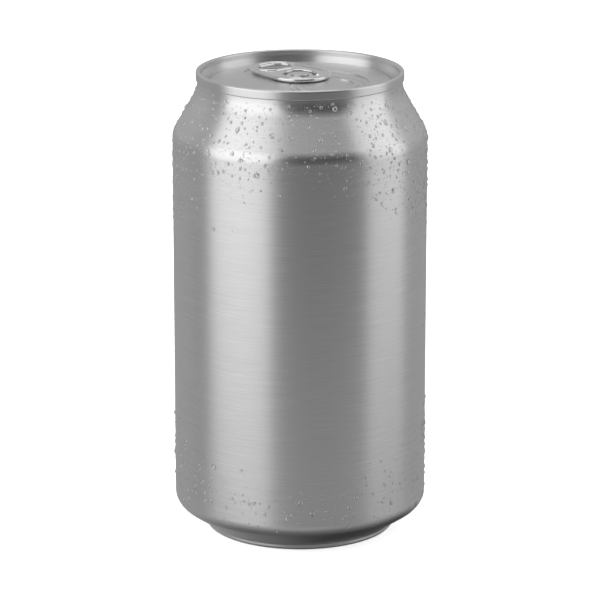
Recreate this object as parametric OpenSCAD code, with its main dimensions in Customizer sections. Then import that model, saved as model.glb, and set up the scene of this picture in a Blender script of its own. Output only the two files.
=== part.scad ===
// A sealed 355 ml drinks can: drawn body, double-seamed end and stay-on tab.
// Millimetres, +Z up. The origin is the centre of the ring that the can stands on.

/* [Body] */
// Height from the standing ring to the top of the seam
can_h = 122.3; // [95:0.1:160]
// Diameter of the straight wall
can_d = 66; // [58:0.5:84]
// Angle of the shoulder cone from the vertical
shoulder_angle = 30; // [22:1:38]
// Rounding where the wall turns into the shoulder
shoulder_round = 6; // [1:0.5:9]
// Rounding where the shoulder runs out into the neck
neck_round = 8; // [1:0.5:10]
// How far the neck sits inside the seam
neck_inset = 0.4; // [0.2:0.1:0.8]

/* [Base] */
// Diameter of the ring that the can stands on
stand_d = 47.4; // [36:0.2:54]
// Width of the flat of that ring
stand_flat = 0.4; // [0.3:0.1:1]
// Radius of the bead on either side of the flat
stand_round = 0.9; // [0.5:0.1:1.2]
// Angle of the heel cone from the horizontal
heel_angle = 34; // [26:1:44]
// Rounding where the wall turns into the heel
heel_round = 4; // [1:0.5:6]
// Height of the dome's middle above the surface that the can stands on
dome_h = 10; // [7:0.5:12]
// Height of the upright leg inside the standing ring
dome_leg_h = 2.8; // [2:0.1:4]

/* [End] */
// Outer diameter of the double seam
seam_d = 53.8; // [44:0.2:65]
// Height of the double seam
seam_h = 2.45; // [2:0.05:3]
// Thickness of the double seam
seam_t = 1.2; // [1:0.05:1.5]
// Depth of the countersink groove below the top of the seam
groove_depth = 5.8; // [5:0.1:7]
// Width of the countersink groove
groove_w = 1.1; // [0.8:0.1:1.6]
// How far the chuck wall leans in from the seam to the groove
chuck_lean = 1.3; // [0.6:0.1:2]
// Depth of the panel's edge below the top of the seam
panel_depth = 2.8; // [2.6:0.1:4]
// How far the pressure in the can lifts the panel's middle
panel_bulge = 1.1; // [0.2:0.1:1.2]
// Thickness of the end's sheet at the chuck wall and groove
sheet_t = 0.3; // [0.2:0.05:0.5]
// Thickness of the panel, its pressed relief included
panel_t = 0.8; // [0.7:0.1:1.2]
// Depth of the pressed recess round the tab and the mouth
recess_depth = 0.3; // [0.1:0.05:0.4]
// Depth and width of the score line that the mouth tears along
score_cut = 0.15; // [0.1:0.05:0.2]
score_w = 0.35; // [0.2:0.05:0.5]
// Radius of the recess round the mouth
recess_r = 14; // [12:0.2:15]
// Straight stretch between the mouth's two round sides
mouth_flat = 5.7; // [2:0.1:7]
// Height and width of the stiffening bead on the tear panel
bead_h = 0.3; // [0.2:0.05:0.5]
bead_w = 1.3; // [0.8:0.1:2]

/* [Tab] */
// Direction that the nose points, from +X
tab_turn = -52; // [-180:1:180]
// Length of the tab
tab_l = 24.6; // [21:0.5:29.5]
// Width of the tab at its nose
tab_w = 16; // [13:0.5:19.5]
// Width of the tab at its heel
heel_w = 14.2; // [13.4:0.2:18]
// Diameter of the rolled edge
curl_d = 1.1; // [0.8:0.1:1.4]
// Thickness of the tab's web
web_t = 0.4; // [0.3:0.05:0.6]
// Length and width of the finger hole
finger_l = 6; // [5:0.2:7.5]
finger_w = 9.2; // [6:0.2:11]
// Diameter of the opening round the rivet
slot_d = 8.6; // [7:0.2:10]
// Width of the slot that frees the rivet's tongue
slot_w = 0.9; // [0.6:0.1:1.4]
// Angle of the tongue's hinge at the nose side
hinge_angle = 70; // [50:5:110]
// Clearance of the tab over the panel
tab_gap = 0.1; // [0.05:0.05:0.3]

/* [Rivet] */
// Diameter of the rivet's shank and of its head
rivet_d = 3.2; // [2.4:0.2:4]
rivet_head_d = 4.8; // [4:0.2:6]
// Height of the rivet's head
rivet_head_h = 0.45; // [0.3:0.05:0.6]
// Clearance round and over the tab where the rivet holds it
rivet_gap = 0.05; // [0.03:0.01:0.1]

/* [Hidden] */
$fn = 96;
// How far joined bars reach into each other, and how much thinner the inner one is
lap = 0.06;
hair = 0.004;
// What a full rounding leaves flat
flat_rest = 0.02;

wall_r = can_d / 2;
seam_r = seam_d / 2;
neck_r = seam_r - neck_inset;
seam_z = can_h - seam_h;

// The neck's rounding ends a little below the seam
neck_straight = 0.3;
neck_z = seam_z - neck_straight - neck_round * tan(shoulder_angle / 2);
shoulder_z = neck_z - (wall_r - neck_r) / tan(shoulder_angle);

// The standing ring and its bead
bead_out_r = stand_d / 2 + stand_flat / 2 + stand_round;
bead_in_r = stand_d / 2 - stand_flat / 2 - stand_round;
notch_round = 0.6;
heel_notch_z = stand_round + notch_round;
heel_z = heel_notch_z + (wall_r - bead_out_r) * tan(heel_angle);
dome_lip = 0.5;
dome_edge_r = bead_in_r - dome_lip;
leg_top_z = dome_leg_h - 0.8;

// The end's own heights and radii
chuck_top_r = seam_r - seam_t;
chuck_low_r = chuck_top_r - chuck_lean;
panel_r = chuck_low_r - groove_w;
panel_z = can_h - panel_depth;
groove_z = can_h - groove_depth;
crown_z = panel_z + panel_bulge;
bulge_r = (panel_r * panel_r + panel_bulge * panel_bulge) / (2 * panel_bulge);
panel_round = 0.4;
panel_lip = panel_round + 0.2;
relief_r = panel_r - panel_lip - 0.2;
under_r = panel_r - sheet_t;
groove_round = groove_w / 2;
chuck_round = 2;
chuck_bend_z = seam_z + 0.9;
seam_round = seam_t / 2 - flat_rest;
hem_round = 0.3;

// The tab, in its own frame: rivet at the origin, nose along +X, underside at z = 0
nose_r = tab_w / 2;
heel_r = heel_w / 2;
curl_r = curl_d / 2;
heel_x = -(tab_l - nose_r - heel_r);
floor_z = crown_z - recess_depth;
tab_z = floor_z + tab_gap;
web_z = curl_r - web_t / 2;
tongue_z = rivet_gap;
hole_curl_r = 0.4 * curl_d;
hole_lift = 0.1;
hole_margin = 1;
hole_x = heel_x - heel_r + curl_d + hole_margin + 2 * hole_curl_r + finger_l / 2;
finger_side = max(0.05, (finger_w - finger_l) / 2);
// The riser is this much wider than the wedge, so that it takes in the curl's ends
hinge_spread = 3;

// The recess leaves a margin round the tab and inside the panel's edge
recess_margin = 3;
recess_heel_margin = 1;
recess_tab_gap = 1.6;
recess_front_x = panel_r - recess_margin - recess_r;
recess_back_r = heel_r + recess_tab_gap;
recess_back_x = -min(-heel_x, panel_r - recess_heel_margin - recess_back_r);

// The mouth runs from beside the rivet to the front of the recess
mouth_front_gap = 1.4;
mouth_rivet_gap = 1.2;
mouth_front_x = recess_front_x + recess_r - mouth_front_gap;
mouth_back_x = rivet_head_d / 2 + mouth_rivet_gap;
mouth_x = (mouth_front_x + mouth_back_x) / 2;
mouth_end_r = (mouth_front_x - mouth_back_x) / 2;
mouth_side = mouth_flat / 2;
mouth_reach = mouth_side + mouth_end_r + 1;
bead_inset = 1.7;
bead_open = 4.5;

// ---- outlines ----

// Points of an arc about c
function arc(c, r, a0, a1, n) =
    [for (i = [0:n]) let (a = a0 + (a1 - a0) * i / n) c + r * [cos(a), sin(a)]];

function unit(v) = v / norm(v);

// The arc that rounds corner b between a and c, shorter where an edge has no room for it
function corner(a, b, c, r) =
    let (
        u = unit(a - b), v = unit(c - b),
        half = acos(max(-1, min(1, u * v))) / 2,
        room = 0.49 * min(norm(a - b), norm(c - b)),
        reach = min(r / tan(half), room),
        radius = reach * tan(half),
        centre = b + unit(u + v) * radius / sin(half),
        p = b + u * reach - centre, q = b + v * reach - centre,
        a0 = atan2(p[1], p[0]), turn = atan2(p[0] * q[1] - p[1] * q[0], p * q),
        n = max(2, ceil(abs(turn) / 9))
    )
    r <= 0 || half > 89.5 ? [b] : arc(centre, radius, a0, a0 + turn, n);

// Rounds every inner corner of an open path of [r, z, rounding]
function rounded(path) = [
    for (i = [0:len(path) - 1])
        let (b = [path[i][0], path[i][1]])
        each (i == 0 || i == len(path) - 1 ? [b] : corner(
            [path[i - 1][0], path[i - 1][1]], b,
            [path[i + 1][0], path[i + 1][1]], path[i][2]))
];

function flipped(list) = [for (i = [len(list) - 1:-1:0]) list[i]];

// Height of the domed panel at radius r, lowered by drop
function panel_at(r, drop = 0) =
    crown_z - drop - (bulge_r - sqrt(bulge_r * bulge_r - r * r));

function panel_dome(r0, r1, drop, n = 12) =
    [for (i = [0:n]) let (r = r0 + (r1 - r0) * i / n) [r, panel_at(r, drop)]];

// Outside of the body, from the middle of its dome round the base and up to the seam
dome_rise = dome_h - dome_leg_h;
dome_r = (dome_edge_r * dome_edge_r + dome_rise * dome_rise) / (2 * dome_rise);
dome_a = asin(dome_edge_r / dome_r);
body_outside = concat(
    arc([0, dome_h - dome_r], dome_r, 90, 90 - dome_a, 12),
    rounded([
        [dome_edge_r, dome_leg_h, 0],
        [bead_in_r, leg_top_z, notch_round],
        [bead_in_r, 0, stand_round],
        [bead_out_r, 0, stand_round],
        [bead_out_r, heel_notch_z, notch_round],
        [wall_r, heel_z, heel_round],
        [wall_r, shoulder_z, shoulder_round],
        [neck_r, neck_z, neck_round],
        [neck_r, seam_z, 0]
    ])
);

// Underside of the end, from the seam to the middle: the body's top is this same line
end_underside = concat(
    rounded([
        [neck_r, seam_z, 0],
        [chuck_top_r + sheet_t, seam_z, 0],
        [chuck_low_r + sheet_t, groove_z - sheet_t, groove_round + sheet_t],
        [under_r, groove_z - sheet_t, groove_round + sheet_t],
        [under_r, panel_at(under_r, panel_t), 0]
    ]),
    panel_dome(under_r - panel_lip, 0, panel_t)
);

// Top of the end, from the middle of the panel to the outside of the seam
end_topside = concat(
    panel_dome(0, panel_r - panel_lip - 0.1, 0),
    rounded([
        [panel_r - panel_lip, panel_at(panel_r - panel_lip), 0],
        [panel_r, panel_at(panel_r), panel_round],
        [panel_r, groove_z, groove_round - flat_rest],
        [chuck_low_r, groove_z, groove_round - flat_rest],
        [chuck_top_r, chuck_bend_z, chuck_round],
        [chuck_top_r, can_h, seam_round],
        [seam_r, can_h, seam_round],
        [seam_r, seam_z, hem_round],
        [neck_r, seam_z, 0]
    ])
);

// ---- shapes shared by the end and the tab ----

// The area inside two circles on the X axis and their common tangents
module two_circles(x1, r1, x2, r2) {
    lean = asin((r1 - r2) / (x1 - x2));
    a = 90 + lean;
    translate([x1, 0]) circle(r1);
    translate([x2, 0]) circle(r2);
    polygon([
        [x1, 0] + r1 * [cos(a), sin(a)], [x2, 0] + r2 * [cos(a), sin(a)],
        [x2, 0] + r2 * [cos(a), -sin(a)], [x1, 0] + r1 * [cos(a), -sin(a)]
    ]);
}

// A round bar bent along that outline; its straights are a hair thinner and reach into its bends
module rolled_edge(x1, r1, x2, r2, bar_r) {
    lean = asin((r1 - r2) / (x1 - x2));
    a = 90 + lean;
    straight = sqrt(pow(x1 - x2, 2) - pow(r1 - r2, 2));
    translate([x1, 0, 0]) rotate([0, 0, -a]) rotate_extrude(angle = 2 * a)
        translate([r1, 0]) circle(bar_r, $fn = 32);
    translate([x2, 0, 0]) rotate([0, 0, a]) rotate_extrude(angle = 360 - 2 * a)
        translate([r2, 0]) circle(bar_r, $fn = 32);
    for (side = [-1, 1])
        translate([x1 + r1 * cos(a), side * r1 * sin(a), 0])
            rotate([0, -90, side * lean]) translate([0, 0, -lap])
                cylinder(r = bar_r - hair, h = straight + 2 * lap, $fn = 32);
}

// A slab that follows the panel's dome, from drop0 below it up to drop1 below it
module dome_slab(drop0, drop1) {
    rotate_extrude() polygon(concat(
        panel_dome(0, relief_r, drop1), flipped(panel_dome(0, relief_r, drop0))
    ));
}

// The mouth's outline, as it would be that far inside the score line
module tear_outline(inset) {
    translate([mouth_x, 0]) rotate(90)
        two_circles(mouth_side, mouth_end_r - inset, -mouth_side, mouth_end_r - inset);
}

module tear_ring(inset, w) {
    difference() {
        tear_outline(inset);
        tear_outline(inset + w);
    }
}

// ---- the three pieces ----

// The drawn aluminium body with the drink in it: nothing of its inside can be seen
module can_body() {
    color("silver") rotate_extrude() polygon(concat(body_outside, end_underside));
}

// Where the panel is pressed down round the tab and the mouth
module recess_area() {
    two_circles(recess_front_x, recess_r, recess_back_x, recess_back_r);
}

module end_shell() {
    rotate_extrude() polygon(concat(end_topside, end_underside));
}

// The bead that stiffens the tear panel: a horseshoe inside the score, open towards the rivet
module tear_bead() {
    linear_extrude(can_h) intersection() {
        tear_ring(bead_inset, bead_w);
        translate([mouth_back_x + bead_open, -mouth_reach])
            square([2 * mouth_end_r, 2 * mouth_reach]);
    }
}

// The shank and head that hold the tab, formed from the panel itself
module rivet() {
    head_z = tab_z + tongue_z + web_t + rivet_gap;
    edge = 0.2;
    translate([0, 0, crown_z - panel_t / 2])
        cylinder(d = rivet_d, h = head_z - crown_z + panel_t / 2 + rivet_head_h / 2);
    translate([0, 0, head_z]) rotate_extrude() polygon(concat(
        [[0, 0], [rivet_head_d / 2 - edge, 0]],
        arc([rivet_head_d / 2 - edge, edge], edge, -60, 60, 6),
        [[rivet_head_d / 4, rivet_head_h], [0, rivet_head_h]]
    ));
}

module lid() {
    color("gainsboro") {
        difference() {
            end_shell();
            rotate([0, 0, tab_turn]) intersection() {
                dome_slab(recess_depth, -1);
                linear_extrude(can_h) recess_area();
            }
            rotate([0, 0, tab_turn]) intersection() {
                dome_slab(recess_depth + score_cut, -1);
                linear_extrude(can_h) tear_ring(0, score_w);
            }
        }
        rotate([0, 0, tab_turn]) intersection() {
            dome_slab(recess_depth + lap, recess_depth - bead_h);
            tear_bead();
        }
        rivet();
    }
}

// The curl round the finger hole; the web reaches to the middle of its bar
module finger_hole_edge() {
    r = finger_l / 2 + hole_curl_r;
    translate([hole_x, 0, 0]) rotate([0, 0, 90])
        rolled_edge(finger_side, r, -finger_side, r, hole_curl_r);
}

module finger_hole() {
    r = finger_l / 2 + hole_curl_r;
    translate([hole_x, 0]) rotate(90) two_circles(finger_side, r, -finger_side, r);
}

// The curl round the rivet's opening, left out where the tongue hinges
module slot_edge() {
    rotate([0, 0, hinge_angle / 2]) rotate_extrude(angle = 360 - hinge_angle)
        translate([slot_d / 2 + hole_curl_r, 0]) circle(hole_curl_r, $fn = 32);
}

module tab_web() {
    translate([0, 0, web_z]) linear_extrude(web_t) difference() {
        two_circles(0, nose_r - curl_r, heel_x, heel_r - curl_r);
        finger_hole();
        circle(slot_d / 2 + hole_curl_r);
    }
}

// The wedge in which the tongue joins the nose
module hinge_wedge(spread = 0) {
    reach = slot_d / 2 + 2 * hole_curl_r;
    a = hinge_angle / 2 + spread;
    polygon([
        [0, 0], reach * [cos(a), -sin(a)], reach * [1.1, 0], reach * [cos(a), sin(a)]
    ]);
}

// The tongue lies low on the panel, with the rivet through it, and steps up to the nose
module tongue() {
    tongue_r = slot_d / 2 - slot_w;
    translate([0, 0, tongue_z]) linear_extrude(web_t) difference() {
        union() {
            circle(tongue_r);
            intersection() {
                circle(slot_d / 2);
                hinge_wedge();
            }
        }
        circle(rivet_d / 2 + rivet_gap);
    }
    translate([0, 0, tongue_z]) linear_extrude(web_z + web_t - tongue_z) intersection() {
        difference() {
            circle(slot_d / 2 + hole_curl_r + lap);
            circle(slot_d / 2 - web_t / 2);
        }
        hinge_wedge(hinge_spread);
    }
}

// The web with the tongue and the curl round the rivet's opening
module tab_middle() {
    tab_web();
    tongue();
    translate([0, 0, curl_r]) slot_edge();
}

module pull_tab() {
    color("whitesmoke") rotate([0, 0, tab_turn]) translate([0, 0, tab_z]) {
        tab_middle();
        translate([0, 0, curl_r])
            rolled_edge(0, nose_r - curl_r, heel_x, heel_r - curl_r, curl_r);
        translate([0, 0, curl_r + hole_lift]) finger_hole_edge();
    }
}

can_body();
lid();
pull_tab();
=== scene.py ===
# %% [markdown]
# # A chilled drinks can in brushed aluminium
# A sealed can stands on a pale floor, with beads of condensed water on its wall.
# The lesson loads the can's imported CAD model, keeps its sizes, and gives each piece its finish.
# The wall and the beads are made by Geometry Nodes, because both follow a rule.

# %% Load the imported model
import math

import bmesh
import bpy
from mathutils import Matrix, Vector


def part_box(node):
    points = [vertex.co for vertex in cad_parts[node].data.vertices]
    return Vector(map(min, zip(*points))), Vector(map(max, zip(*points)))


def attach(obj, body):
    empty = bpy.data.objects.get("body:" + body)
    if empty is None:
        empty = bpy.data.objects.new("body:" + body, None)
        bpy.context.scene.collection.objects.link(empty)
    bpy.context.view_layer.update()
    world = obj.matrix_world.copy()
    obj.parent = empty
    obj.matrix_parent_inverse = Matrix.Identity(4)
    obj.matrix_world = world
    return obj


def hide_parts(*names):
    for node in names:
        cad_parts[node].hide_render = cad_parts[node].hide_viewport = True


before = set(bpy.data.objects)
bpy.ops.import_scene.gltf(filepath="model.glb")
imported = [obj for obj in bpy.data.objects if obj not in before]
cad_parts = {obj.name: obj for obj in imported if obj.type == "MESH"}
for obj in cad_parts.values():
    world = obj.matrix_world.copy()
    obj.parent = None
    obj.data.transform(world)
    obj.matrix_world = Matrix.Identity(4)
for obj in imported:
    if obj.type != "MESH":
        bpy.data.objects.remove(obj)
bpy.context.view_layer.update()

# %% [markdown]
# ## Sizes
# Everything is in metres, so a size in millimetres is written as a number times MM.
# The heights and radii come from the boxes of the CAD pieces, so the looks follow the model.

# %% Sizes of the can
MM = 0.001
TURN = 2 * math.pi
SCENE = bpy.context.scene

body_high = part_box("can_body")[1]
lid_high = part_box("lid")[1]
wall_r = body_high.x
seam_r = lid_high.x
seam_z = body_high.z
can_h = lid_high.z
print(f"wall {wall_r / MM:.2f} mm, seam {seam_r / MM:.2f} mm in radius, can {can_h / MM:.1f} mm tall")

# %% [markdown]
# ## A helper for node trees
# Shader trees and geometry trees are built the same way: add a node, set its options and fill its
# inputs. The helper takes a number, a colour or another node's output for each input.


# %% Add nodes to a tree
class Tree:
    """Adds nodes to a node tree; an input takes a value or another node's output."""

    def __init__(self, tree):
        self.tree = tree

    def add(self, kind, inputs=None, **options):
        node = self.tree.nodes.new(kind)
        for name, value in options.items():
            setattr(node, name, value)
        for name, value in (inputs or {}).items():
            if isinstance(value, bpy.types.NodeSocket):
                self.tree.links.new(value, node.inputs[name])
            else:
                node.inputs[name].default_value = value
        return node

    def math(self, operation, *values):
        return self.add("ShaderNodeMath", dict(enumerate(values)), operation=operation).outputs[0]

    def vector(self, operation, *values):
        node = self.add("ShaderNodeVectorMath", dict(enumerate(values)), operation=operation)
        return node.outputs["Vector"]

    def ramp(self, value, low, high, to_low=0.0, to_high=1.0, smooth=False):
        """Maps value from low..high to to_low..to_high, and keeps it there outside."""
        inputs = {"Value": value, "From Min": low, "From Max": high, "To Min": to_low, "To Max": to_high}
        kind = "SMOOTHSTEP" if smooth else "LINEAR"
        return self.add("ShaderNodeMapRange", inputs, interpolation_type=kind).outputs["Result"]


# %% [markdown]
# ## Camera
# A long lens a little under a metre away looks down on the can at about fifteen degrees, so the
# rims read as slim ellipses and the upright wall hardly tapers.

# %% Place the camera
CAMERA_DISTANCE = 0.9165
CAMERA_ELEVATION = math.radians(15.52)
CAMERA_LENS = 209.8
CAMERA_SENSOR = 36
AIM_BELOW_MIDDLE = 0.5 * MM

can_middle = Vector((0, 0, can_h / 2))
toward_camera = Vector((0, -math.cos(CAMERA_ELEVATION), math.sin(CAMERA_ELEVATION)))
camera = bpy.data.objects.new("camera", bpy.data.cameras.new("camera"))
camera.data.lens = CAMERA_LENS
camera.data.sensor_width = CAMERA_SENSOR
camera.location = can_middle + CAMERA_DISTANCE * toward_camera
aim = can_middle - Vector((0, 0, AIM_BELOW_MIDDLE)) - camera.location
camera.rotation_euler = aim.to_track_quat("-Z", "Y").to_euler()
SCENE.collection.objects.link(camera)
SCENE.camera = camera
print("camera at", [round(x, 4) for x in camera.location])

# %% [markdown]
# ## Studio
# Bare metal shows what stands round it, so the studio is most of its look. Tall soft boxes at the
# left and right give the upright bright bands, the dim gap between them gives the dark band, and a
# small box overhead picks out the curled edges of the tab.


# %% Soft boxes
BOX_DISTANCE = 0.75


def soft_box(name, azimuth, elevation, width, height, brightness):
    """A rectangular light that faces the can; azimuth 0 is the camera's side and 90 is the right."""
    around, up = math.radians(azimuth), math.radians(elevation)
    direction = Vector((math.sin(around) * math.cos(up), -math.cos(around) * math.cos(up), math.sin(up)))
    light = bpy.data.lights.new(name, "AREA")
    light.shape = "RECTANGLE"
    light.size, light.size_y = width, height
    light.energy = brightness * math.pi * width * height
    lamp = bpy.data.objects.new(name, light)
    lamp.location = can_middle + BOX_DISTANCE * direction
    lamp.rotation_euler = (-direction).to_track_quat("-Z", "Y").to_euler()
    lamp.visible_camera = False
    SCENE.collection.objects.link(lamp)
    return lamp


soft_box("left_box", azimuth=-56, elevation=16, width=0.94, height=0.82, brightness=1.3)
soft_box("right_box", azimuth=83, elevation=17, width=0.64, height=0.88, brightness=0.85)
soft_box("top_box", azimuth=180, elevation=78, width=0.4, height=0.22, brightness=1.3)

# A dim card lies face up on the floor in front, so that the dark band lightens towards the foot.
CARD_NEAR, CARD_FAR = 0.04, 0.27
CARD_LIFT = 0.5 * MM
card = soft_box(
    "floor_card", azimuth=0, elevation=0, width=0.5, height=CARD_FAR - CARD_NEAR, brightness=0.12
)
card.location = (0, -(CARD_NEAR + CARD_FAR) / 2, CARD_LIFT)
card.rotation_euler = (math.pi, 0, 0)

# %% [markdown]
# ## Surroundings
# What the boxes leave open is a grey room. Its front half glows from the floor and the ceiling and
# is dark between them. Its back half is a plain grey, a little lighter higher up, with a dark card
# low down on the right. The floor is a pale disc that curves up into a wall all round, so that it
# fills the view from every side with no edge. Metal on white paper would pick up the paper, and a
# studio keeps that out with black cards; here the sweep is left out of reflections.

# %% Grey room
world = bpy.data.worlds.new("grey_room")
world.use_nodes = True
SCENE.world = world
room = Tree(world.node_tree)
way = room.add("ShaderNodeSeparateXYZ", {"Vector": room.add("ShaderNodeTexCoord").outputs["Generated"]})
across, along, up = way.outputs["X"], way.outputs["Y"], way.outputs["Z"]
floor_glow = room.ramp(up, -0.45, -0.05, 0.32, 0.0, smooth=True)
ceiling_glow = room.ramp(up, 0.52, 0.78, 0.0, 0.58, smooth=True)
front = room.math("ADD", floor_glow, ceiling_glow)
behind = room.ramp(along, -0.3, 0.6, smooth=True)
back_grey = room.ramp(up, -0.15, 0.2, 0.34, 0.45, smooth=True)
dark_card = room.ramp(across, -0.10, 0.08, 1.0, 0.0, smooth=True)
low_down = room.ramp(up, -0.62, -0.32, dark_card, 1.0, smooth=True)
back_wall = room.math("MULTIPLY", back_grey, low_down)
level = room.add("ShaderNodeMix", {0: behind, 2: front, 3: back_wall}).outputs[0]
under_can = room.ramp(up, -0.9, -0.5, 0.25, 1.0, smooth=True)
grey = room.math("MULTIPLY", level, under_can)
background = world.node_tree.nodes["Background"]
world.node_tree.links.new(grey, background.inputs["Color"])

# %% Pale sweep
SWEEP_FLAT_R = 1.6
SWEEP_BEND_R = 1.2
SWEEP_SIDES = 96
SWEEP_BEND_STEPS = 16
SWEEP_TOP = 3.0
SWEEP_RINGS = (0.25, 0.7, SWEEP_FLAT_R)


def sweep_profile():
    """Points of (radius, height): flat, then bent through a quarter, then upright."""
    points = [(radius, 0.0) for radius in SWEEP_RINGS]
    for step in range(1, SWEEP_BEND_STEPS + 1):
        angle = step / SWEEP_BEND_STEPS * math.pi / 2
        radius = SWEEP_FLAT_R + SWEEP_BEND_R * math.sin(angle)
        points.append((radius, SWEEP_BEND_R * (1 - math.cos(angle))))
    return points + [(SWEEP_FLAT_R + SWEEP_BEND_R, SWEEP_TOP)]


def make_sweep():
    """The floor and the wall round it as one smooth surface."""
    mesh = bmesh.new()
    middle = mesh.verts.new((0, 0, 0))
    rings = []
    for radius, level in sweep_profile():
        angles = [side * TURN / SWEEP_SIDES for side in range(SWEEP_SIDES)]
        rings.append([mesh.verts.new((radius * math.cos(a), radius * math.sin(a), level)) for a in angles])
    for side in range(SWEEP_SIDES):
        after = (side + 1) % SWEEP_SIDES
        mesh.faces.new((middle, rings[0][side], rings[0][after]))
        for inner, outer in zip(rings, rings[1:]):
            mesh.faces.new((inner[side], outer[side], outer[after], inner[after]))
    for face in mesh.faces:
        face.smooth = True
    data = bpy.data.meshes.new("sweep")
    mesh.to_mesh(data)
    mesh.free()
    sweep = bpy.data.objects.new("sweep", data)
    SCENE.collection.objects.link(sweep)
    return sweep


paper = bpy.data.materials.new("pale_paper")
paper.use_nodes = True
paper_shader = paper.node_tree.nodes["Principled BSDF"]
paper_shader.inputs["Base Color"].default_value = (0.86, 0.86, 0.86, 1)
paper_shader.inputs["Roughness"].default_value = 0.9
paper_shader.inputs["Emission Color"].default_value = (1, 1, 1, 1)
paper_shader.inputs["Emission Strength"].default_value = 0.55

sweep = make_sweep()
sweep.data.materials.append(paper)
sweep.visible_glossy = False
sweep.visible_transmission = False
sweep.visible_shadow = False
SCENE.view_settings.view_transform = "Standard"
print("sweep", len(sweep.data.polygons), "faces")

# %% [markdown]
# ## Brushed aluminium
# A drawn can's wall has a fine grain that runs round it. Each scratch is a tiny groove, so it
# spreads a reflection up and down but hardly sideways: that is anisotropy, with its tangent turned
# a quarter from the direction round the axis. The grain itself is noise that changes fast with
# height and slowly round the can, used for a faint relief, tone and gloss.


# %% Metal with a grain
GRAIN_LOW, GRAIN_HIGH = 0.3, 0.7
GLOSS_SWING = 0.08
QUARTER_TURN = 0.25


def aluminium(name, tone, roughness, grain_height, grain_length, grain_depth, grain_tone, along=None):
    """Metal with streaks round the Z axis; tone is its mean grey and grain_tone the streaks' swing."""
    material = bpy.data.materials.new(name)
    material.use_nodes = True
    tree = Tree(material.node_tree)
    shader = material.node_tree.nodes["Principled BSDF"]
    place = tree.add("ShaderNodeTexCoord").outputs["Object"]
    shrink = (1 / grain_length, 1 / grain_length, 1 / grain_height)
    streaks = tree.vector("MULTIPLY", place, shrink)
    grain = tree.add(
        "ShaderNodeTexNoise", {"Vector": streaks, "Scale": 1.0, "Detail": 4.0, "Roughness": 0.65}
    ).outputs["Fac"]
    shade = tree.ramp(grain, GRAIN_LOW, GRAIN_HIGH, tone - grain_tone, tone + grain_tone)
    glossiest, roughest = roughness * (1 - GLOSS_SWING), roughness * (1 + GLOSS_SWING)
    gloss = tree.ramp(grain, GRAIN_LOW, GRAIN_HIGH, glossiest, roughest)
    relief = tree.add("ShaderNodeBump", {"Strength": 1.0, "Distance": grain_depth, "Height": grain})
    material.node_tree.links.new(shade, shader.inputs["Base Color"])
    material.node_tree.links.new(gloss, shader.inputs["Roughness"])
    material.node_tree.links.new(relief.outputs["Normal"], shader.inputs["Normal"])
    shader.inputs["Metallic"].default_value = 1.0
    if along is not None:
        tangent = tree.add("ShaderNodeTangent", direction_type="RADIAL", axis="Z")
        material.node_tree.links.new(tangent.outputs["Tangent"], shader.inputs["Tangent"])
        shader.inputs["Anisotropic"].default_value = along
        shader.inputs["Anisotropic Rotation"].default_value = QUARTER_TURN
    return material


brushed_wall = aluminium(
    "brushed_aluminium", tone=0.82, roughness=0.36, grain_height=0.2 * MM, grain_length=11 * MM,
    grain_depth=0.007 * MM, grain_tone=0.06, along=0.6,
)
end_sheet = aluminium(
    "end_aluminium", tone=0.80, roughness=0.36, grain_height=0.2 * MM, grain_length=3 * MM,
    grain_depth=0.0, grain_tone=0.015, along=0.5,
)
tab_metal = aluminium(
    "tab_aluminium", tone=0.88, roughness=0.17, grain_height=1 * MM, grain_length=1 * MM,
    grain_depth=0.0, grain_tone=0.01,
)
print("metals:", brushed_wall.name, end_sheet.name, tab_metal.name)

# %% Finish the end and the tab
for node, metal in (("lid", end_sheet), ("pull_tab", tab_metal)):
    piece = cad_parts[node]
    piece.data.materials.clear()
    piece.data.materials.append(metal)

# %% [markdown]
# ## The drawn body
# The body is one outline turned round the axis. A few corners with their roundings say all of it:
# the domed base, the ring it stands on, the heel, the wall, the shoulder and the neck.

# %% Outline of the body
STAND_RING_R = 23.7 * MM
STAND_FLAT = 0.4 * MM
STAND_ROUND = 0.9 * MM
NOTCH_ROUND = 0.6 * MM
HEEL_ANGLE = math.radians(34)
HEEL_ROUND = 4 * MM
DOME_H = 10 * MM
DOME_LEG_H = 2.8 * MM
SHOULDER_ANGLE = math.radians(30)
SHOULDER_ROUND = 6 * MM
NECK_ROUND = 8 * MM
NECK_INSET = 0.4 * MM
NECK_STRAIGHT = 0.3 * MM
DOME_EDGE_GAP = 0.5 * MM
DOME_EDGE_DROP = 0.8 * MM
UNDER_END_R = 24.9 * MM
UNDER_END_Z = 116.0 * MM
UNDER_END_ROUND = 0.8 * MM
UNDER_SEAM_INSET = 0.5 * MM
UNDER_SEAM_DROP = 0.05 * MM

ring_in_r = STAND_RING_R - STAND_FLAT / 2 - STAND_ROUND
ring_out_r = STAND_RING_R + STAND_FLAT / 2 + STAND_ROUND
dome_edge_r = ring_in_r - DOME_EDGE_GAP
notch_z = STAND_ROUND + NOTCH_ROUND
heel_z = notch_z + (wall_r - ring_out_r) * math.tan(HEEL_ANGLE)
neck_r = seam_r - NECK_INSET
neck_z = seam_z - NECK_STRAIGHT - NECK_ROUND * math.tan(SHOULDER_ANGLE / 2)
shoulder_z = neck_z - (wall_r - neck_r) / math.tan(SHOULDER_ANGLE)


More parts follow.
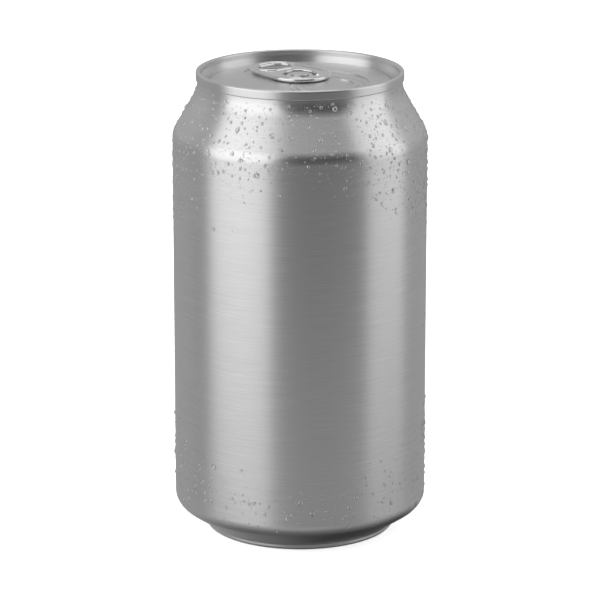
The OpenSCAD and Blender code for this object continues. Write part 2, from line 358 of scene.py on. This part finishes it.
def rounded(corners):
    """Points of an outline of (radius, height, rounding), with an arc for each rounded corner."""
    points = []
    for before, corner, after in zip([None, *corners], corners, [*corners[1:], None]):
        here = Vector(corner[:2])
        if before is None or after is None or corner[2] == 0:
            points.append(here)
            continue
        back = (Vector(before[:2]) - here).normalized()
        on = (Vector(after[:2]) - here).normalized()
        half = back.angle(on) / 2
        centre = here + (back + on).normalized() * corner[2] / math.sin(half)
        start = here + back * corner[2] / math.tan(half) - centre
        turn = start.angle_signed(here + on * corner[2] / math.tan(half) - centre)
        steps = max(4, round(abs(turn) / math.radians(5)))
        for step in range(steps + 1):
            spoke = start.copy()
            spoke.rotate(Matrix.Rotation(-turn * step / steps, 2))
            points.append(centre + spoke)
    return points


def supported(points, end=0.25 * MM, stride=3 * MM):
    """Adds points close to the ends of each long straight, and along it, to keep its shading flat."""
    result = [points[0]]
    for here, there in zip(points, points[1:]):
        gap = (there - here).length
        if gap > 4 * end:
            pieces = max(1, round((gap - 2 * end) / stride))
            shares = [(end + (gap - 2 * end) * piece / pieces) / gap for piece in range(pieces + 1)]
            result += [here.lerp(there, share) for share in shares]
        result.append(there)
    return result


def dome(edge_r, edge_z, top_z, steps=24):
    """A ball's cap from the axis out to its edge."""
    rise = top_z - edge_z
    ball_r = (edge_r ** 2 + rise ** 2) / (2 * rise)
    reach = math.asin(edge_r / ball_r)
    angles = [reach * step / steps for step in range(steps)]
    return [Vector((ball_r * math.sin(a), top_z - ball_r * (1 - math.cos(a)))) for a in angles]


outside = rounded([
    (dome_edge_r, DOME_LEG_H, 0),
    (ring_in_r, DOME_LEG_H - DOME_EDGE_DROP, NOTCH_ROUND),
    (ring_in_r, 0, STAND_ROUND),
    (ring_out_r, 0, STAND_ROUND),
    (ring_out_r, notch_z, NOTCH_ROUND),
    (wall_r, heel_z, HEEL_ROUND),
    (wall_r, shoulder_z, SHOULDER_ROUND),
    (neck_r, neck_z, NECK_ROUND),
    (neck_r, seam_z, 0),
])
under_end = rounded([
    (neck_r - UNDER_SEAM_INSET, seam_z - UNDER_SEAM_DROP, 0),
    (UNDER_END_R, UNDER_END_Z, UNDER_END_ROUND),
    (0, UNDER_END_Z, 0),
])
body_outline = dome(dome_edge_r, DOME_LEG_H, DOME_H) + supported(outside) + under_end
print(len(body_outline), "points in the body's outline")

# %% [markdown]
# ## Turning the outline
# Geometry Nodes turn it like a lathe. A grid has one row for each point of the outline and one
# column for each step round the axis; every corner of the grid moves to its row's radius and
# height, turned by its column's angle. Merging then closes the seam and both poles.


# %% A tree for Geometry Nodes
def geometry_tree(name, inputs):
    """A tree that takes and gives a geometry, with named inputs of the kinds given."""
    tree = bpy.data.node_groups.new(name, "GeometryNodeTree")
    tree.interface.new_socket("Geometry", in_out="INPUT", socket_type="NodeSocketGeometry")
    tree.interface.new_socket("Geometry", in_out="OUTPUT", socket_type="NodeSocketGeometry")
    for label, kind in inputs.items():
        tree.interface.new_socket(label, in_out="INPUT", socket_type=f"NodeSocket{kind}")
    return tree


def run_tree(obj, tree, values):
    """Runs the tree on obj with these input values and makes its result obj's plain mesh."""
    modifier = obj.modifiers.new(tree.name, "NODES")
    modifier.node_group = tree
    for item in tree.interface.items_tree:
        if item.in_out == "INPUT" and item.name in values:
            modifier[item.identifier] = values[item.name]
    evaluated = obj.evaluated_get(bpy.context.evaluated_depsgraph_get())
    data = bpy.data.meshes.new_from_object(evaluated)
    obj.modifiers.remove(modifier)
    obj.data = data
    data.name = obj.name


# %% The lathe
def lathe_tree():
    group = geometry_tree("lathe", {"Sides": "Int", "Weld": "Float", "Metal": "Material"})
    tree = Tree(group)
    given = tree.add("NodeGroupInput").outputs
    points = tree.add("GeometryNodeAttributeDomainSize", {"Geometry": given["Geometry"]})
    columns = tree.math("ADD", given["Sides"], 1)
    grid = tree.add(
        "GeometryNodeMeshGrid", {"Vertices X": points.outputs["Point Count"], "Vertices Y": columns}
    ).outputs["Mesh"]
    index = tree.add("GeometryNodeInputIndex").outputs[0]
    row = tree.math("FLOOR", tree.math("DIVIDE", tree.math("ADD", index, 0.5), columns))
    column = tree.math("SUBTRACT", index, tree.math("MULTIPLY", row, columns))
    angle = tree.math("MULTIPLY", tree.math("DIVIDE", column, given["Sides"]), TURN)
    corner = tree.add(
        "GeometryNodeSampleIndex",
        {"Geometry": given["Geometry"], "Index": row},
        data_type="FLOAT_VECTOR",
    )
    place = tree.add("GeometryNodeInputPosition").outputs[0]
    tree.tree.links.new(place, corner.inputs["Value"])
    outline = tree.add("ShaderNodeSeparateXYZ", {"Vector": corner.outputs["Value"]}).outputs
    turned = tree.add("ShaderNodeCombineXYZ", {
        "X": tree.math("MULTIPLY", outline["X"], tree.math("COSINE", angle)),
        "Y": tree.math("MULTIPLY", outline["X"], tree.math("SINE", angle)),
        "Z": outline["Z"],
    }).outputs[0]
    moved = tree.add("GeometryNodeSetPosition", {"Geometry": grid, "Position": turned}).outputs[0]
    welded = tree.add(
        "GeometryNodeMergeByDistance", {"Geometry": moved, "Distance": given["Weld"]}
    ).outputs[0]
    smooth = tree.add("GeometryNodeSetShadeSmooth", {"Geometry": welded}).outputs[0]
    real = tree.add("GeometryNodeRealizeInstances", {"Geometry": smooth}).outputs[0]
    painted = tree.add("GeometryNodeSetMaterial", {"Geometry": real, "Material": given["Metal"]})
    tree.add("NodeGroupOutput", {"Geometry": painted.outputs[0]})
    return group


def faces_outwards(mesh):
    """Turns a closed mesh the right way round, and gives its number of open edges."""
    work = bmesh.new()
    work.from_mesh(mesh)
    if work.calc_volume(signed=True) < 0:
        bmesh.ops.reverse_faces(work, faces=work.faces)
    open_edges = sum(not edge.is_manifold for edge in work.edges)
    work.to_mesh(mesh)
    work.free()
    return open_edges


WALL_SIDES = 320
WELD = 0.001 * MM


def turned_piece(name, outline, metal, sides):
    """A piece turned round Z from an outline of (radius, height)."""
    line = bpy.data.meshes.new(name)
    edges = [(i, i + 1) for i in range(len(outline) - 1)]
    line.from_pydata([(radius, 0, level) for radius, level in outline], edges, [])
    piece = bpy.data.objects.new(name, line)
    SCENE.collection.objects.link(piece)
    run_tree(piece, lathe_tree(), {"Sides": sides, "Weld": WELD, "Metal": metal})
    open_edges = faces_outwards(piece.data)
    print(name, len(piece.data.polygons), "faces,", open_edges, "open edges")
    return piece


can_wall = turned_piece("can_wall", body_outline, brushed_wall, WALL_SIDES)
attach(can_wall, "root")
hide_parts("can_body")

# %% [markdown]
# ## Beads of water
# A cold can gathers beads where moist air meets it: many under the end and on the shoulder, fewer
# near the heel, and hardly any where a hand has held it. Each bead is a low dome of water, a
# little longer than wide and heavier at its foot, with a closed base sunk just into the metal so
# that light passes from water to metal with no air between. One tree scatters every size: it
# draws points on the wall, keeps them in two bands, and sets a bead on each with a random size.
#
# A thin bead also sends light back like a mirror, from the metal under it, so the water is part
# metallic.

# %% Water
water = bpy.data.materials.new("clear_water")
water.use_nodes = True
water_shader = water.node_tree.nodes["Principled BSDF"]
water_shader.inputs["Base Color"].default_value = (1, 1, 1, 1)
water_shader.inputs["Transmission Weight"].default_value = 1.0
water_shader.inputs["Roughness"].default_value = 0.02
water_shader.inputs["IOR"].default_value = 1.33
water_shader.inputs["Metallic"].default_value = 0.25

# %% One bead
BEAD_HEIGHT = 0.33
BEAD_SINK = 0.05
BEAD_STRETCH = 1.2
BEAD_SAG = 0.12


def make_bead(sides, steps):
    """A dome one unit across on the XY plane, with +Z out of the wall and +Y up the can."""
    mesh = bmesh.new()
    rings = []
    for ring in range(steps):
        lift = ring / steps * math.pi / 2
        level = BEAD_HEIGHT * math.sin(lift) - BEAD_SINK
        verts = []
        for side in range(sides):
            angle = side * TURN / sides
            x, y = 0.5 * math.cos(lift) * math.cos(angle), 0.5 * math.cos(lift) * math.sin(angle)
            verts.append(mesh.verts.new((x, y * BEAD_STRETCH - BEAD_SAG * math.sin(lift), level)))
        rings.append(verts)
    top = mesh.verts.new((0, -BEAD_SAG, BEAD_HEIGHT - BEAD_SINK))
    mesh.faces.new(list(reversed(rings[0])))
    for side in range(sides):
        after = (side + 1) % sides
        for low, high in zip(rings, rings[1:]):
            mesh.faces.new((low[side], low[after], high[after], high[side])).smooth = True
        mesh.faces.new((rings[-1][side], rings[-1][after], top)).smooth = True
    data = bpy.data.meshes.new("bead")
    mesh.to_mesh(data)
    mesh.free()
    bead = bpy.data.objects.new("bead", data)
    SCENE.collection.objects.link(bead)
    return bead


# %% Scatter beads on the wall
# The upper band reaches lower at the sides than in front, and the lower band reaches higher there.
WALL_BANDS = {
    "Top From": 96 * MM, "Top Full": 103 * MM, "Top Side Drop": 16 * MM,
    "Foot From": 7 * MM, "Foot Full": 10 * MM,
    "Foot Fade": 12 * MM, "Foot To": 22 * MM, "Foot Side Rise": 14 * MM,
}
RAGGED_EDGE = 12 * MM
PATCHES_PER_METRE = 140.0
LEAST_SHARE = 0.6


def beads_tree():
    """Scatters beads on the geometry; each share is of the density, from 0 to 1."""
    kinds = {"Bead": "Object", "Water": "Material", "Seed": "Int"}
    sizes = ("Density", "Foot Share", "Wall Share", "Smallest", "Largest", "Skew", "Apart")
    kinds |= {size: "Float" for size in (*sizes, *WALL_BANDS)}
    group = geometry_tree("beads", kinds)
    tree = Tree(group)
    given = tree.add("NodeGroupInput").outputs
    place = tree.add("GeometryNodeInputPosition").outputs[0]
    at = tree.add("ShaderNodeSeparateXYZ", {"Vector": place}).outputs
    side = tree.math("DIVIDE", at["X"], wall_r)
    side = tree.math("MINIMUM", tree.math("MULTIPLY", side, side), 1.0)
    drop = tree.math("MULTIPLY", side, given["Top Side Drop"])
    patchy = tree.add(
        "ShaderNodeTexNoise", {"Vector": place, "Scale": PATCHES_PER_METRE, "Detail": 2.0}
    ).outputs["Fac"]
    ragged = tree.math("MULTIPLY", tree.math("SUBTRACT", patchy, 0.5), RAGGED_EDGE)
    height = tree.math("ADD", at["Z"], ragged)
    top_height = tree.math("ADD", height, drop)
    rise = tree.math("MULTIPLY", side, given["Foot Side Rise"])
    foot_height = tree.math("SUBTRACT", height, rise)
    top = tree.ramp(top_height, given["Top From"], given["Top Full"], smooth=True)
    foot_in = tree.ramp(at["Z"], given["Foot From"], given["Foot Full"])
    foot_out = tree.ramp(foot_height, given["Foot Fade"], given["Foot To"], 1.0, 0.0, smooth=True)
    foot = tree.math("MULTIPLY", tree.math("MULTIPLY", foot_in, foot_out), given["Foot Share"])
    wall = tree.math("MULTIPLY", tree.math("MULTIPLY", side, foot_in), given["Wall Share"])
    share = tree.math("MAXIMUM", tree.math("MAXIMUM", top, foot), wall)
    clumps = tree.ramp(patchy, 0.35, 0.6, LEAST_SHARE, 1.0)
    share = tree.math("MULTIPLY", share, clumps)
    points = tree.add(
        "GeometryNodeDistributePointsOnFaces",
        {"Mesh": given["Geometry"], "Distance Min": given["Apart"], "Density Max": given["Density"],
         "Density Factor": share, "Seed": given["Seed"]},
        distribute_method="POISSON",
    )
    out = tree.add(
        "FunctionNodeAlignRotationToVector", {"Vector": points.outputs["Normal"]}, axis="Z"
    ).outputs[0]
    upright = tree.add(
        "FunctionNodeAlignRotationToVector", {"Rotation": out, "Vector": (0, 0, 1)}, axis="Y", pivot_axis="Z"
    ).outputs[0]
    draw = tree.add("FunctionNodeRandomValue", {"Seed": given["Seed"]}, data_type="FLOAT").outputs[1]
    skewed = tree.math("POWER", draw, given["Skew"])
    size = tree.ramp(skewed, 0.0, 1.0, given["Smallest"], given["Largest"])
    shape = tree.add("GeometryNodeObjectInfo", {"Object": given["Bead"]}).outputs["Geometry"]
    beads = tree.add(
        "GeometryNodeInstanceOnPoints",
        {"Points": points.outputs["Points"], "Instance": shape, "Rotation": upright, "Scale": size},
    ).outputs[0]
    real = tree.add("GeometryNodeRealizeInstances", {"Geometry": beads}).outputs[0]
    painted = tree.add("GeometryNodeSetMaterial", {"Geometry": real, "Material": given["Water"]})
    tree.add("NodeGroupOutput", {"Geometry": painted.outputs[0]})
    return group


DRY_UNDER_SEAM = 0.8 * MM
FACES_DOWN = -0.75


def upper_wall():
    """A copy of the wall between the ring and the seam, for the beads to sit on."""
    work = bmesh.new()
    work.from_mesh(can_wall.data)
    dry = []
    for face in work.faces:
        middle = face.calc_center_median()
        if middle.xy.length < ring_out_r or face.normal.z < FACES_DOWN or middle.z > seam_z - DRY_UNDER_SEAM:
            dry.append(face)
    bmesh.ops.delete(work, geom=dry, context="FACES")
    data = bpy.data.meshes.new("bead_ground")
    work.to_mesh(data)
    work.free()
    return data


bead_ground = upper_wall()
scatter = beads_tree()
# Each kind gives the bead's sides and steps, which keep the small ones light, and the tree's values.
BEAD_KINDS = {
    "large_beads": (16, 5, {
        "Seed": 3, "Density": 22000.0, "Apart": 2.6 * MM, "Foot Share": 1.0, "Wall Share": 0.0,
        "Smallest": 0.9 * MM, "Largest": 1.4 * MM, "Skew": 2.0,
    }),
    "small_beads": (12, 3, {
        "Seed": 8, "Density": 200000.0, "Apart": 1.0 * MM, "Foot Share": 0.8, "Wall Share": 0.02,
        "Smallest": 0.5 * MM, "Largest": 0.95 * MM, "Skew": 1.5,
    }),
    "fine_beads": (8, 2, {
        "Seed": 21, "Density": 700000.0, "Apart": 0.5 * MM, "Foot Share": 0.6, "Wall Share": 0.06,
        "Smallest": 0.2 * MM, "Largest": 0.4 * MM, "Skew": 1.2,
    }),
}
for name, (sides, steps, values) in BEAD_KINDS.items():
    bead = make_bead(sides, steps)
    beads = bpy.data.objects.new(name, bead_ground.copy())
    SCENE.collection.objects.link(beads)
    run_tree(beads, scatter, {"Bead": bead, "Water": water, **WALL_BANDS, **values})
    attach(beads, "root")
    count = len(beads.data.polygons) // len(bead.data.polygons)
    triangles = sum(len(face.vertices) - 2 for face in beads.data.polygons)
    print(name, count, "beads,", triangles, "triangles")
    bpy.data.objects.remove(bead)
